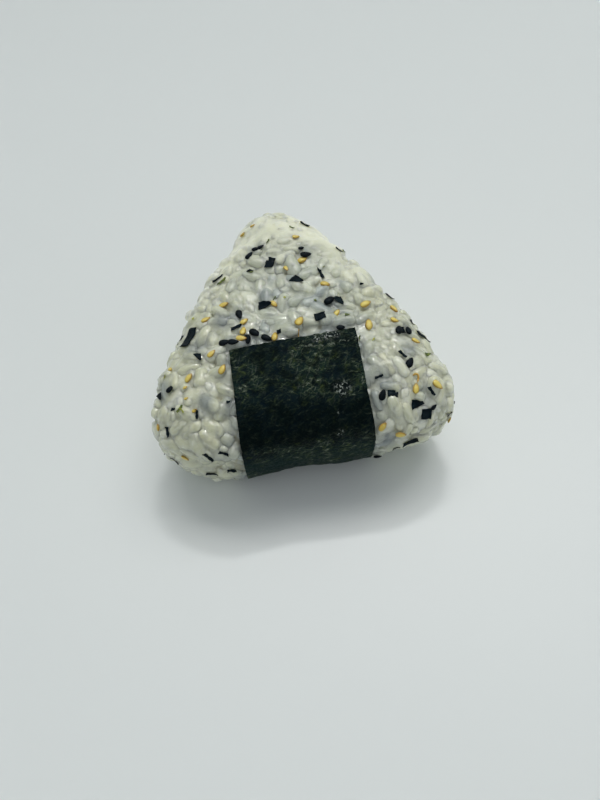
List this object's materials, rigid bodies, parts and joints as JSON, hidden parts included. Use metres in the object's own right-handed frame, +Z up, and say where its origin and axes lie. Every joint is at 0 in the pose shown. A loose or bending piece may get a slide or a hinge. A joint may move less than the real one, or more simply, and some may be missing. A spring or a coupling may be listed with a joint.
{
  "type": "onigiri rice ball",
  "caption": "Triangular rice ball mixed with sesame seeds and seaweed flakes, lying on its back face, with a seaweed strip folded round its base side",
  "frame": {"origin": "middle of the rice ball's box in plan, on the surface that it lies on", "axes": "+Z up out of the face, +Y to the tip of the triangle, -Y to the base side with the seaweed, +X to the right"},
  "size_m": [0.084, 0.0871, 0.0407],
  "materials": {
    "rice": "moist cooked rice",
    "nori": "dry pressed seaweed, slightly glossy",
    "white_sesame": "toasted seed",
    "black_sesame": "dark seed",
    "green_flake": "dried seaweed"
  },
  "bodies": {
    "root": {"rice_ball": "rice", "nori_strip": "nori"}
  },
  "joints": []
}
